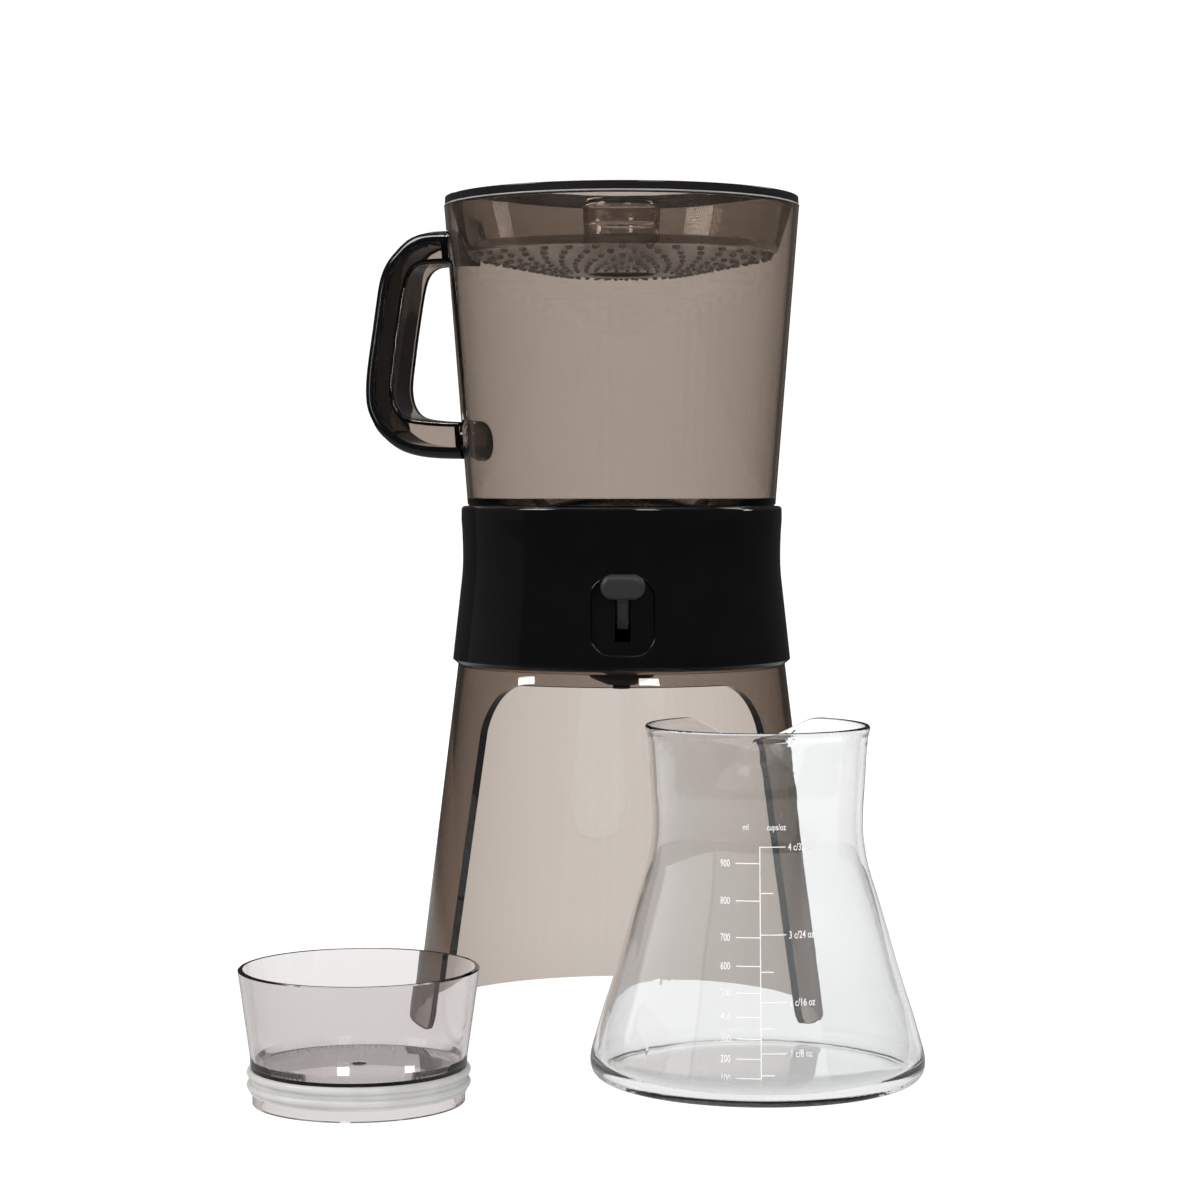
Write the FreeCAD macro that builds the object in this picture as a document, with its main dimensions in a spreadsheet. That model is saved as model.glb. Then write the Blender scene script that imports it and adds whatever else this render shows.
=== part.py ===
import FreeCAD, Part
import math
import os

import Sketcher
from FreeCAD import Vector, Rotation, Placement

# Cold brew coffee maker. Millimetres. The origin is on the stand's axis at the floor,
# +Z is up, -Y is the front and +X is the user's right.
os.makedirs("parts", exist_ok=True)
doc = FreeCAD.newDocument("cold_brew_maker")

# ---------------------------------------------------------------- driving dimensions
D = {
    # stand
    "foot_rad": 97.8, "neck_rad": 77.82, "stand_high": 166.0, "stand_wall": 3.6, "wall_shift": 0.6,
    "rim_outer": 74.6, "rim_inner": 72.0, "rim_top": 169.5,
    "arch_top": 159.0, "arch_half_foot": 81.0, "arch_half_top": 61.0, "arch_depth": 47.4, "corner_high": 23.0, "corner_long": 27.0, "leg_corner": 8.0,
    # container
    "lip_rad": 84.6, "lip_high": 383.0, "seam_rad": 73.4, "seam_high": 241.3, "tank_wall": 2.6,
    "spigot_rad": 70.8, "spigot_bore": 68.6, "floor_low": 226.8, "ledge_high": 225.0,
    "ledge_rad": 46.0, "ledge_bore": 41.0, "drain_bore": 8.0, "drain_rad": 11.0, "drain_low": 205.0, "bowl_low": 213.0,
    # black base
    "collar_low": 166.0, "collar_top": 240.6, "collar_wide": 80.4, "collar_waist": 75.65,
    "collar_wall": 3.0, "recess_deep": 1.5, "recess_half": 14.85, "recess_low": 173.4, "recess_top": 209.0, "recess_corner": 10.0,
    "slot_half": 3.6, "slot_low": 179.7, "slot_top": 207.0,
    "insert_rad": 72.9, "insert_top": 241.2, "insert_body": 72.2, "insert_bore": 71.0, "insert_low": 224.3,
    "boss_ring": 60.0, "boss_rad": 4.5, "screw_rad": 1.5, "screw_head": 3.2,
    "plate_low": 170.0, "plate_top": 172.5, "plate_rad": 75.0, "plate_bore": 18.2,
    "spout_rad": 18.0, "spout_tip": 153.4, "nozzle_rad": 4.2, "funnel_top": 185.0,
    # release switch
    "paddle_half": 10.7, "paddle_high": 11.5, "paddle_low": 198.85, "paddle_back": 77.6, "paddle_deep": 6.4,
    "stem_half": 2.5, "slide_front": 71.0, "slide_back": 68.5, "slide_half": 10.4, "slide_low": 188.0, "slide_top": 212.0,
    "pin_rad": 2.0, "pin_clear": 0.06, "pivot_back": 24.0, "pivot_high": 190.0, "arm_front": 42.0, "arm_rear": 17.0,
    "arm_half": 2.0, "arm_wide": 7.0, "rock_deg": 8.2,
    # valve
    "stem_rad": 1.9, "foot_disc": 9.5, "foot_low": 189.65, "foot_thick": 1.5, "hub_low": 206.0, "hub_bore": 1.95,
    # filter
    "filter_rad": 43.4, "filter_low": 225.0, "filter_high": 4.0,
    # rainmaker
    "tray_rad": 84.3, "tray_top": 387.5, "tray_wall": 2.0, "knob_rad": 18.3, "knob_top": 383.0,
    "dish_rad": 72.0, "dish_high": 359.8, "flat_rad": 30.0, "flat_high": 351.0, "hole_rad": 0.9,
    # handle
    "handle_deg": 21.0, "handle_half": 13.0, "strip_thick": 5.6, "strip_gap": 4.0, "channel_wall": 2.6,
    "arm_foot_mid": 271.7, "arm_foot_half": 12.8, "arm_foot_high": 9.7,
    # carafe
    "carafe_x": 56.5, "carafe_y": -153.0, "glass_wall": 2.2, "glass_floor": 3.0, "carafe_high": 149.0,
    "spout_dip": 11.0, "spout_pull": 7.0, "spout_deg": 90.0, "spout_wide": 40.0,
    # measuring cup and stopper
    "cup_x": -108.5, "cup_y": -203.0, "cup_rim": 49.2, "cup_high": 54.2, "cup_neck": 44.2, "cup_neck_high": 18.6,
    "cup_wall": 2.0, "cup_floor": 15.2, "skirt_rad": 43.2, "groove_rad": 41.6, "groove_low": 4.6, "groove_top": 14.2,
    "skirt_bore": 39.4, "rib_rad": 45.5,
}
sheet = doc.addObject("Spreadsheet::Sheet", "dims")
sheet.set("A1", "name")
sheet.set("B1", "value in mm or degrees")
for row, (alias, value) in enumerate(D.items(), 2):
    sheet.set("A%d" % row, alias)
    sheet.set("B%d" % row, repr(float(value)))
    sheet.setAlias("B%d" % row, alias)
doc.recompute()


def num(e):
    """The value of a sum such as 'lip_rad - tank_wall' of sheet names and numbers."""
    if isinstance(e, (int, float)):
        return float(e)
    total, sign = 0.0, 1.0
    for word in e.split():
        if word == "+":
            sign = 1.0
        elif word == "-":
            sign = -1.0
        else:
            total += sign * (D[word] if word in D else float(word))
    return total


def link(e, turned=False):
    """The same sum as an expression on the sheet, or None for a plain number."""
    if isinstance(e, (int, float)) or not any(w in D for w in e.split()):
        return None
    text = " ".join("dims." + w if w in D else w for w in e.split())
    return "-(" + text + ")" if turned else text


def bind(obj, prop, e):
    text = link(e)
    if text:
        obj.setExpression(prop, text)
    return num(e)


def plane(body, role):
    return [f for f in body.Origin.OriginFeatures if f.Role == role][0]


def outline(body, name, role, points, offset=None):
    """A closed profile. A point is (x, y) or (x, y, radius, side): an arc of that radius reaches it, its centre on that side."""
    sk = body.newObject("Sketcher::SketchObject", name)
    sk.AttachmentSupport = [(plane(body, role), "")]
    sk.MapMode = "FlatFace"
    if offset is not None:
        sk.AttachmentOffset = Placement(Vector(0, 0, num(offset)), Rotation())
        if link(offset):
            sk.setExpression("AttachmentOffset.Base.z", link(offset))
    pts = [(num(p[0]), num(p[1])) for p in points]
    n = len(pts)
    geo, ends = [], []
    for i in range(n):
        (x0, y0), (x1, y1) = pts[i], pts[(i + 1) % n]
        goal = points[(i + 1) % n]
        if len(goal) == 2:
            geo.append(Part.LineSegment(Vector(x0, y0, 0), Vector(x1, y1, 0)))
            ends.append((1, 2))
            continue
        r, side = num(goal[2]), goal[3]
        dx, dy = x1 - x0, y1 - y0
        long = math.hypot(dx, dy)
        up = math.sqrt(max(r * r - long * long / 4, 0.0))
        cx = (x0 + x1) / 2 - side * dy / long * up
        cy = (y0 + y1) / 2 + side * dx / long * up
        a0, a1 = math.atan2(y0 - cy, x0 - cx), math.atan2(y1 - cy, x1 - cx)
        if side > 0:
            if a1 < a0:
                a1 += 2 * math.pi
            geo.append(Part.ArcOfCircle(Part.Circle(Vector(cx, cy, 0), Vector(0, 0, 1), r), a0, a1))
            ends.append((1, 2))
        else:
            if a0 < a1:
                a0 += 2 * math.pi
            geo.append(Part.ArcOfCircle(Part.Circle(Vector(cx, cy, 0), Vector(0, 0, 1), r), a1, a0))
            ends.append((2, 1))
    sk.addGeometry(geo, False)
    cons, named = [], []
    for i in range(n):
        cons.append(Sketcher.Constraint("Coincident", i, ends[i][1], (i + 1) % n, ends[(i + 1) % n][0]))
    for i in range(n):
        for word, value, e, axis in (("DistanceX", pts[i][0], points[i][0], -2), ("DistanceY", pts[i][1], points[i][1], -1)):
            if abs(value) < 1e-9:
                cons.append(Sketcher.Constraint("PointOnObject", i, ends[i][0], axis))
            elif value > 0:
                named.append((len(cons), "%s%d" % (word[-1].lower(), i), link(e)))
                cons.append(Sketcher.Constraint(word, -1, 1, i, ends[i][0], value))
            else:
                named.append((len(cons), "%s%d" % (word[-1].lower(), i), link(e, True)))
                cons.append(Sketcher.Constraint(word, i, ends[i][0], -1, 1, -value))
    for i in range(n):
        goal = points[(i + 1) % n]
        if len(goal) == 4:
            named.append((len(cons), "rad%d" % i, link(goal[2])))
            cons.append(Sketcher.Constraint("Radius", i, num(goal[2])))
    sk.addConstraint(cons)
    for index, label, text in named:
        sk.renameConstraint(index, label + "_d")
        if text:
            sk.setExpression("Constraints." + label + "_d", text)
    sk.Visibility = False
    return sk


def body(name):
    b = doc.addObject("PartDesign::Body", name)
    b.Label = name
    return b


def turned(b, name, points):
    """A full turn of a profile in r and z about the body's own Z axis."""
    sk = outline(b, name + "_profile", "XZ_Plane", points)
    rev = b.newObject("PartDesign::Revolution", name + "_turn")
    rev.Profile = sk
    rev.ReferenceAxis = (sk, ["V_Axis"])
    rev.Angle = 360
    b.Tip = rev
    return rev


def pad(b, name, role, points, length, offset=None, both=False, back=False):
    sk = outline(b, name + "_sketch", role, points, offset)
    p = b.newObject("PartDesign::Pad", name)
    p.Profile = sk
    p.Length = bind(p, "Length", length)
    p.Midplane = both
    p.Reversed = back
    b.Tip = p
    return p


def pocket(b, name, role, points, length, offset=None, back=False, both=False):
    sk = outline(b, name + "_sketch", role, points, offset)
    p = b.newObject("PartDesign::Pocket", name)
    p.Profile = sk
    p.Length = bind(p, "Length", length)
    p.Reversed = back
    p.Midplane = both
    b.Tip = p
    return p


def box(name, x0, x1, y0, y1, z0, z1):
    o = doc.addObject("Part::Box", name)
    for prop, lo, hi in (("Length", x0, x1), ("Width", y0, y1), ("Height", z0, z1)):
        setattr(o, prop, num(hi) - num(lo))
        if link(hi) or link(lo):
            o.setExpression(prop, "(%s) - (%s)" % (link(hi) or num(hi), link(lo) or num(lo)))
    o.Placement = Placement(Vector(num(x0), num(y0), num(z0)), Rotation())
    for axis, e in (("x", x0), ("y", y0), ("z", z0)):
        if link(e):
            o.setExpression("Placement.Base." + axis, link(e))
    return o


def cylinder(name, r, height, x=0, y=0, z=0, turn=None):
    o = doc.addObject("Part::Cylinder", name)
    o.Radius = bind(o, "Radius", r)
    o.Height = bind(o, "Height", height)
    o.Placement = Placement(Vector(num(x), num(y), num(z)), turn or Rotation())
    for axis, e in (("x", x), ("y", y), ("z", z)):
        if link(e):
            o.setExpression("Placement.Base." + axis, link(e))
    return o


def joined(name, base, tool, kind="Part::Fuse"):
    o = doc.addObject(kind, name)
    o.Base, o.Tool = base, tool
    return o


def chain(name, parts, kind="Part::Fuse"):
    made = parts[0]
    for i, tool in enumerate(parts[1:]):
        last = i == len(parts) - 2
        made = joined(name if last else "%s_step%d" % (name, i), made, tool, kind)
    made.Label = name
    return made


ALONG_X = Rotation(Vector(0, 1, 0), 90)
ALONG_FRONT = Rotation(Vector(1, 0, 0), 90)
kept = {}

# ---------------------------------------------------------------- stand: one moulded cone with an open front
b = body("stand_turn")
turned(b, "stand", [
    (0, 0), ("foot_rad", 0), ("neck_rad", "stand_high"), ("rim_outer", "stand_high"), ("rim_outer", "rim_top"), (0, "rim_top")])
hollow = doc.addObject("Part::Cone", "stand_hollow")
hollow.Radius1 = bind(hollow, "Radius1", "foot_rad - stand_wall + 0.12")
hollow.Radius2 = bind(hollow, "Radius2", "neck_rad - stand_wall + 0.18")
hollow.Height = bind(hollow, "Height", "stand_high - 0.5")
hollow.Placement = Placement(Vector(0, num("wall_shift"), -1.0), Rotation())
hollow.setExpression("Placement.Base.y", link("wall_shift"))
bore = cylinder("stand_bore", "rim_inner", 20.0, 0, 0, "stand_high - 10.0")


def arch_wire(y):
    """The arch's outline at depth y. Its edges run towards the stand's axis, so its width grows with the distance from the axis."""
    wide = abs(y) / D["arch_depth"]
    foot, top, high, down, along, leg = (
        D[k] for k in ("arch_half_foot", "arch_half_top", "arch_top", "corner_high", "corner_long", "leg_corner"))
    slope = (foot - top) / high
    side = [(foot + leg, -2.0), (foot + leg, 0.0)]
    # the leg's rounded bottom corner, then the arch's elliptical top corner
    low = [(foot - slope * leg + leg * (1 - math.sin(t)) * (1 + slope), leg * (1 - math.cos(t))) for t in [math.pi / 2 * k / 6 for k in range(7)]]
    high_ = []
    for k in range(9):
        t = k / 8
        a, b_, c_ = (1 - t) ** 2, 1.41421356 * t * (1 - t), t * t
        high_.append(((a * (top + slope * down) + b_ * top + c_ * (top - along)) / (a + b_ + c_),
                      (a * (high - down) + b_ * high + c_ * high) / (a + b_ + c_)))
    right = side + low + high_
    pts = right + [(-x, z) for x, z in reversed(right)]
    spans = [(0, 1), (1, 2), (2, 8), (8, 9), (9, 17)]
    last = len(pts) - 1
    spans += [(17, 18)] + [(last - b_, last - a_) for a_, b_ in reversed(spans)] + [(last, 0)]
    edges = []
    for a_, b_ in spans:
        run = [Vector(pts[i][0] * wide, y, pts[i][1]) for i in (range(a_, b_ + 1) if b_ > a_ else (a_, b_))]
        if (run[0] - run[-1]).Length < 1e-9:
            continue
        if len(run) == 2:
            edges.append(Part.makeLine(*run))
        else:
            c = Part.BSplineCurve()
            c.interpolate(run)
            edges.append(c.toShape())
    return Part.Wire(edges)


arch = doc.addObject("Part::Feature", "arch_tool")
arch.Shape = Part.makeLoft([arch_wire(-118.0), arch_wire(-22.0)], True, True)
kept["stand_shell"] = chain("stand_shell", [b, hollow, bore, arch], "Part::Cut")

# ---------------------------------------------------------------- brewing container
b = body("brew_container")
turned(b, "tank", [
    ("drain_bore", "drain_low"), ("drain_rad", "drain_low"), ("drain_rad", "bowl_low - 1.7"), ("ledge_bore + 2.5", 220.2),
    ("ledge_rad + 2.5", 222.5), ("ledge_rad + 2.5", "floor_low"), ("spigot_rad", "floor_low"), ("spigot_rad", "seam_high"),
    ("seam_rad", "seam_high"), ("lip_rad", "lip_high"), ("lip_rad - tank_wall", "lip_high"),
    ("seam_rad - tank_wall + 0.2", "seam_high + 3.1"), ("spigot_bore", "seam_high - 1.4"), ("spigot_bore", 232.5),
    ("ledge_rad", 228.8), ("ledge_rad", "ledge_high"), ("ledge_bore", "ledge_high"), ("ledge_bore", 222.0),
    ("drain_bore", "bowl_low")])
kept["brew_container"] = b

# ---------------------------------------------------------------- handle: a loop in a plane turned to the rear
# Profiles in the plane of the loop: r from the axis and z. Outer line, then the line between strip and frame, then the opening.
outer = [(72.0, 372.6), (88.0, 373.9), (96.0, 373.8), (102.6, 372.6), (108.3, 369.9), (113.2, 365.6), (117.6, 360.9), (120.9, 355.5),
         (122.7, 350.4), (124.3, 342.0), (125.5, 334.0), (127.0, 324.0), (128.5, 314.5), (129.7, 305.5), (130.2, 299.0),
         (130.1, 293.0), (129.0, 287.0), (126.9, 282.3), (124.0, 277.4), (119.2, 272.6), (112.5, 268.0), (104.7, 265.2), (96.1, 263.8), (84.0, 263.2), (72.0, 263.0)]
inner = [(72.0, 357.8), (88.0, 357.8), (95.5, 357.7), (99.8, 357.2), (103.2, 355.5), (105.6, 352.6), (107.0, 349.0), (108.2, 344.0), (109.6, 336.0),
         (110.9, 328.0), (112.3, 318.5), (113.5, 309.5), (114.4, 302.5), (114.6, 297.0), (113.9, 292.2), (112.0, 287.7), (108.9, 284.6),
         (104.5, 283.0), (98.5, 282.2), (88.0, 281.4), (72.0, 281.1)]


def curve(points):
    c = Part.BSplineCurve()
    c.interpolate([Vector(r, 0, z) for r, z in points])
    return c


def inward(points, d):
    """The line set in from the outer one by d, on its inner side."""
    made = []
    for i, (r, z) in enumerate(points):
        r0, z0 = points[max(i - 1, 0)]
        r1, z1 = points[min(i + 1, len(points) - 1)]
        long = math.hypot(r1 - r0, z1 - z0)
        made.append((r + (z1 - z0) / long * d, z - (r1 - r0) / long * d))
    made[0], made[-1] = (points[0][0], made[0][1]), (points[-1][0], made[-1][1])
    return made


def loop_solid(first, second, half):
    """The region between two open lines from wall to wall, as thick as twice half across the plane."""
    a, c = curve(first), curve(second)
    edges = [a.toShape(), Part.makeLine(a.EndPoint, c.EndPoint), c.toShape(), Part.makeLine(c.StartPoint, a.StartPoint)]
    face = Part.Face(Part.Wire(Part.__sortEdges__(edges)))
    face.translate(Vector(0, -half, 0))
    return face.extrude(Vector(0, 2 * half, 0))


def rounded(solid, radius, pick):
    edges = [e for e in solid.Edges if pick(e)]
    return solid.makeFillet(radius, edges)


half = float(sheet.get("handle_half"))
strip = float(sheet.get("strip_thick"))
tank_outside = doc.getObject("brew_container")
doc.recompute()


def along_side(e, y):
    box_ = e.BoundBox
    return abs(box_.YMin - y) < 1e-6 and abs(box_.YMax - y) < 1e-6 and box_.DiagonalLength > 60


def tank_cone(gap):
    """The container's outside, grown by gap."""
    return Part.makeCone(num("seam_rad") + gap, num("lip_rad") + gap, num("lip_high - seam_high"), Vector(0, 0, num("seam_high")))


mid = inward(outer, strip)
ends = float(sheet.get("strip_gap"))
strip_shape = loop_solid(outer, mid, half)
strip_shape = rounded(strip_shape, 4.0, lambda e: (along_side(e, half) or along_side(e, -half)) and e.BoundBox.ZMax > 371.0)
grip_shape = strip_shape.cut(tank_cone(ends + 0.1))
roots = strip_shape.common(tank_cone(ends)).cut(tank_cone(0.0))
frame_shape = loop_solid(mid, inner, half)
frame_shape = rounded(frame_shape, 1.6, lambda e: (along_side(e, half) or along_side(e, -half)) and e.BoundBox.ZMax < 360.0)
# the frame is a channel, open towards the strip that closes it
web = float(sheet.get("channel_wall"))
groove = loop_solid(inward(outer, strip - 1.0), inward(inner, -web), half - web).cut(tank_cone(ends + web))
frame_shape = frame_shape.cut(groove)
# the lower arm meets the container's wall in a rounded foot
foot_mid, foot_half, foot_high = (float(sheet.get(k)) for k in ("arm_foot_mid", "arm_foot_half", "arm_foot_high"))
ring = [Vector(60, foot_half * math.copysign(abs(math.cos(t)) ** 0.85, math.cos(t)), foot_mid + foot_high * math.copysign(abs(math.sin(t)) ** 0.85, math.sin(t)))
        for t in [2 * math.pi * k / 48 for k in range(48)]]
c = Part.BSplineCurve()
c.interpolate(ring, PeriodicFlag=True)
foot = Part.Face(Part.Wire([c.toShape()])).extrude(Vector(40, 0, 0))
foot = foot.common(tank_cone(ends)).cut(tank_cone(0.0))
low_zone = Part.makeBox(200, 60, 60, Vector(0, -30, 240)).common(tank_cone(ends))
frame_shape = frame_shape.cut(tank_cone(0.0)).cut(low_zone)
roots = roots.cut(low_zone)
frame_shape = frame_shape.fuse(roots).fuse(foot).removeSplitter()
away = Rotation(Vector(0, 0, 1), 180.0 - float(sheet.get("handle_deg")))
for name, shape in (("handle_frame", frame_shape), ("handle_grip", grip_shape)):
    o = doc.addObject("Part::Feature", name)
    o.Shape = shape.cut(tank_cone(0.0))
    o.Placement = Placement(Vector(0, 0, 0), away)
    kept[name] = o

# ---------------------------------------------------------------- black base: collar shell
profile_out = [
    ("collar_wide - 2.3", "collar_low"), ("collar_wide", "collar_low + 2.0"),
    (76.3, 205.0), ("collar_waist", 216.0, 95.0, -1), (76.4, 234.5, 220.0, -1), (76.35, "collar_top - 1.8"),
    (74.55, "collar_top", 1.8, 1)]
c1 = body("collar_turn")
turned(c1, "collar_shell", profile_out + [
    (73.4, "collar_top"), (73.4, "collar_top - 1.5"), (72.45, "collar_top - 1.5"), (72.45, "collar_top - 3.5"),
    (73.0, "collar_top - 4.5"), ("collar_waist - collar_wall", 216.0), (73.3, 205.0),
    (76.75, "plate_top + 2.5"), (74.2, "plate_top + 2.0"), (74.2, "plate_top"), (75.2, "plate_top"), (75.2, "collar_low")])
c2 = body("recess_core")
turned(c2, "recess_core", [
    (0, 160.0), (79.4, 160.0), ("collar_wide - recess_deep", "collar_low + 2.0"), ("76.3 - recess_deep", 205.0),
    ("collar_waist - recess_deep", 216.0, 95.0, -1), ("collar_waist - recess_deep", 225.0), (0, 225.0)])
c3 = body("recess_prism")
pad(c3, "recess_prism_pad", "XZ_Plane", [
    ("0 - recess_half", "recess_low + recess_corner"), ("recess_corner - recess_half", "recess_low", "recess_corner", 1),
    ("recess_half - recess_corner", "recess_low"), ("recess_half", "recess_low + recess_corner", "recess_corner", 1),
    ("recess_half", "recess_top - recess_corner"), ("recess_half - recess_corner", "recess_top", "recess_corner", 1),
    ("recess_corner - recess_half", "recess_top"), ("0 - recess_half", "recess_top - recess_corner", "recess_corner", 1)], 100.0)
recess = chain("recess_tool", [c3, c2], "Part::Cut")
slot = box("slot_tool", "0 - slot_half", "slot_half", -95.0, -60.0, "slot_low", "slot_top")
kept["base_collar"] = chain("base_collar", [c1, recess, slot], "Part::Cut")

# ---------------------------------------------------------------- black base: insert ring that holds the container
b = body("insert_turn")
turned(b, "insert_ring", [
    ("insert_rad", "insert_top"), ("insert_rad", "collar_top - 1.5"), ("insert_body", "collar_top - 1.5"),
    ("insert_body", "insert_low"), (50.0, "insert_low"), (50.0, "floor_low"), ("insert_bore", "floor_low"), ("insert_bore", "insert_top")])
bosses = []
for k, ang in enumerate((90.0, 210.0, 330.0)):
    x, y = D["boss_ring"] * math.cos(math.radians(ang)), D["boss_ring"] * math.sin(math.radians(ang))
    post = cylinder("boss%d" % k, "boss_rad", "insert_low - plate_top + 1.0", x, y, "plate_top")
    bosses.append(post)
holes = [cylinder("boss_hole%d" % k, "screw_rad", 18.0, D["boss_ring"] * math.cos(math.radians(a)),
                  D["boss_ring"] * math.sin(math.radians(a)), "plate_top") for k, a in enumerate((90.0, 210.0, 330.0))]
posts = chain("insert_posts", [b] + bosses)
kept["base_insert"] = chain("base_insert", [posts] + holes, "Part::Cut")

# ---------------------------------------------------------------- black base: plate with the lever's cheeks and the switch's rails
disc = cylinder("plate_disc", "plate_rad", "plate_top - plate_low", 0, 0, "plate_low")
cheeks = [box("cheek%d" % i, x0, x1, -29.4, -21.2, "plate_top - 1.0", "pivot_high + 4.5") for i, (x0, x1) in enumerate(((-6.8, -4.0), (4.0, 6.8)))]
rails = [box("rail%d" % i, x0, x1, -70.9, -65.8, "plate_top - 1.0", "slide_top + 2.0") for i, (x0, x1) in enumerate(((-13.0, -10.7), (10.7, 13.0)))]
lips = [box("rail_lip%d" % i, x0, x1, -68.2, -65.8, "plate_top - 1.0", "slide_top + 2.0") for i, (x0, x1) in enumerate(((-12.0, -7.6), (7.6, 12.0)))]
solid = chain("plate_solid", [disc] + cheeks + rails + lips)
cuts = [cylinder("plate_hole", "plate_bore", 8.0, 0, 0, "plate_low - 2.0"),
        cylinder("cheek_hole", "pin_rad", 20.0, -10.0, "0 - pivot_back", "pivot_high", ALONG_X)]
cuts += [cylinder("plate_screw%d" % k, 1.7, 8.0, D["boss_ring"] * math.cos(math.radians(a)),
                  D["boss_ring"] * math.sin(math.radians(a)), "plate_low - 2.0") for k, a in enumerate((90.0, 210.0, 330.0))]
kept["base_plate"] = chain("base_plate", [solid] + cuts, "Part::Cut")

screws = []
for k, ang in enumerate((90.0, 210.0, 330.0)):
    x, y = D["boss_ring"] * math.cos(math.radians(ang)), D["boss_ring"] * math.sin(math.radians(ang))
    head = cylinder("screw_head%d" % k, "screw_head", 1.9, x, y, "plate_low - 1.9")
    cross = box("screw_cross%d" % k, x - 1.8, x + 1.8, y - 0.4, y + 0.4, "plate_low - 2.5", "plate_low - 1.1")
    shank = cylinder("screw_shank%d" % k, "screw_rad", 19.0, x, y, "plate_low - 0.5")
    screws.append(chain("screw%d" % k, [joined("screw_body%d" % k, head, shank), cross], "Part::Cut"))
group = doc.addObject("Part::Compound", "base_screws")
group.Links = screws
kept["base_screws"] = group

b = body("drain_funnel")
turned(b, "funnel", [
    (20.0, "funnel_top"), (18.6, "funnel_top"), (14.0, 168.0), (14.0, 163.0), (11.0, 160.2), (5.0, 157.2), ("nozzle_rad - 1.4", 156.4),
    ("nozzle_rad - 1.4", "spout_tip"), ("nozzle_rad", "spout_tip"), ("nozzle_rad", 155.0), (7.0, 155.3), (13.0, 157.8),
    (17.3, 161.7, 9.0, 1), ("spout_rad", 166.0, 14.0, 1), ("spout_rad", "plate_top"), (21.0, "plate_top"), (21.0, "plate_top + 1.5"),
    (18.0, "plate_top + 1.6")])
kept["drain_funnel"] = b

kept["lever_pin"] = cylinder("lever_pin", "pin_rad", 14.4, -7.2, "0 - pivot_back", "pivot_high", ALONG_X)

# ---------------------------------------------------------------- release switch
plate = box("slide_plate", "0 - slide_half", "slide_half", "0 - slide_front", "0 - slide_back", "slide_low", "slide_top")
ears = [box("slide_ear%d" % i, x0, x1, "0 - slide_back - 0.5", -62.8, 191.0, 201.0) for i, (x0, x1) in enumerate(((-6.2, -4.0), (4.0, 6.2)))]
pin = cylinder("slide_pin", "pin_rad", 10.4, -5.2, -65.75, 195.99, ALONG_X)
rib = body("slide_rib")
pad(rib, "slide_rib_pad", "YZ_Plane", [
    ("0 - paddle_back", 206.0), ("0 - paddle_back", "paddle_low - 0.05"), (-78.4, "paddle_low - 0.05"), (-78.0, 197.0), (-72.6, 185.3),
    (-69.5, 185.3), (-69.5, 206.0)], "stem_half + stem_half", both=True)
kept["switch_slider"] = chain("switch_slider", [plate] + ears + [pin, rib])

b = body("switch_paddle")
high = D["paddle_high"] / 2
bend = high + 0.03
flat = D["paddle_half"] - high
pad(b, "paddle_pad", "XZ_Plane", [
    (-flat, "paddle_low", bend, 1), (flat, "paddle_low"), (flat, "paddle_low + paddle_high", bend, 1),
    (-flat, "paddle_low + paddle_high")], "paddle_deep", offset="paddle_back")
doc.recompute()
front = doc.getObject("paddle_pad")
edge = b.newObject("PartDesign::Fillet", "paddle_round")
edge.Base = (front, ["Edge%d" % (i + 1) for i, e in enumerate(front.Shape.Edges) if e.BoundBox.YMax < -(D["paddle_back"] + D["paddle_deep"] - 0.05)])
edge.Radius = 2.8
b.Tip = edge
kept["switch_paddle"] = b

# ---------------------------------------------------------------- rocking lever, drawn level about its pivot
b = body("rocker_lever")
pad(b, "lever_pad", "YZ_Plane", [
    (-43.9, -4.0), (-38.0, -4.0), (-32.0, "0 - arm_half"), (-5.0, "0 - arm_half"), (-3.6, -4.2), (3.6, -4.2), (5.0, "0 - arm_half"),
    ("arm_rear", "0 - arm_half"), ("arm_rear", "arm_half", 2.02, 1), (15.6, 1.6), (13.8, 0.4), (9.0, 0.4), (5.0, "arm_half"), (3.6, 4.2), (-3.6, 4.2), (-5.0, "arm_half"),
    (-32.0, "arm_half"), (-38.0, 4.0), (-43.9, 4.0)], "arm_wide", both=True)
pocket(b, "lever_fork", "YZ_Plane", [
    (-46.0, "0 - pin_rad - pin_clear"), (-41.4, "0 - pin_rad - pin_clear"), (-41.4, "pin_rad + pin_clear", 2.08, 1), (-46.0, "pin_rad + pin_clear")],
    20.0, both=True)
sk = b.newObject("Sketcher::SketchObject", "lever_bore_sketch")
sk.AttachmentSupport = [(plane(b, "YZ_Plane"), "")]
sk.MapMode = "FlatFace"
sk.addGeometry([Part.Circle(Vector(0, 0, 0), Vector(0, 0, 1), num("pin_rad + pin_clear"))], False)
sk.addConstraint([Sketcher.Constraint("Coincident", 0, 3, -1, 1), Sketcher.Constraint("Radius", 0, num("pin_rad + pin_clear"))])
sk.renameConstraint(1, "bore")
sk.setExpression("Constraints.bore", link("pin_rad + pin_clear"))
bore = b.newObject("PartDesign::Pocket", "lever_bore")
bore.Profile = sk
bore.Length = 20.0
bore.Midplane = True
b.Tip = bore
b.Placement = Placement(Vector(0, -D["pivot_back"], D["pivot_high"]), Rotation(Vector(1, 0, 0), -D["rock_deg"]))
kept["rocker_lever"] = b

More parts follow.
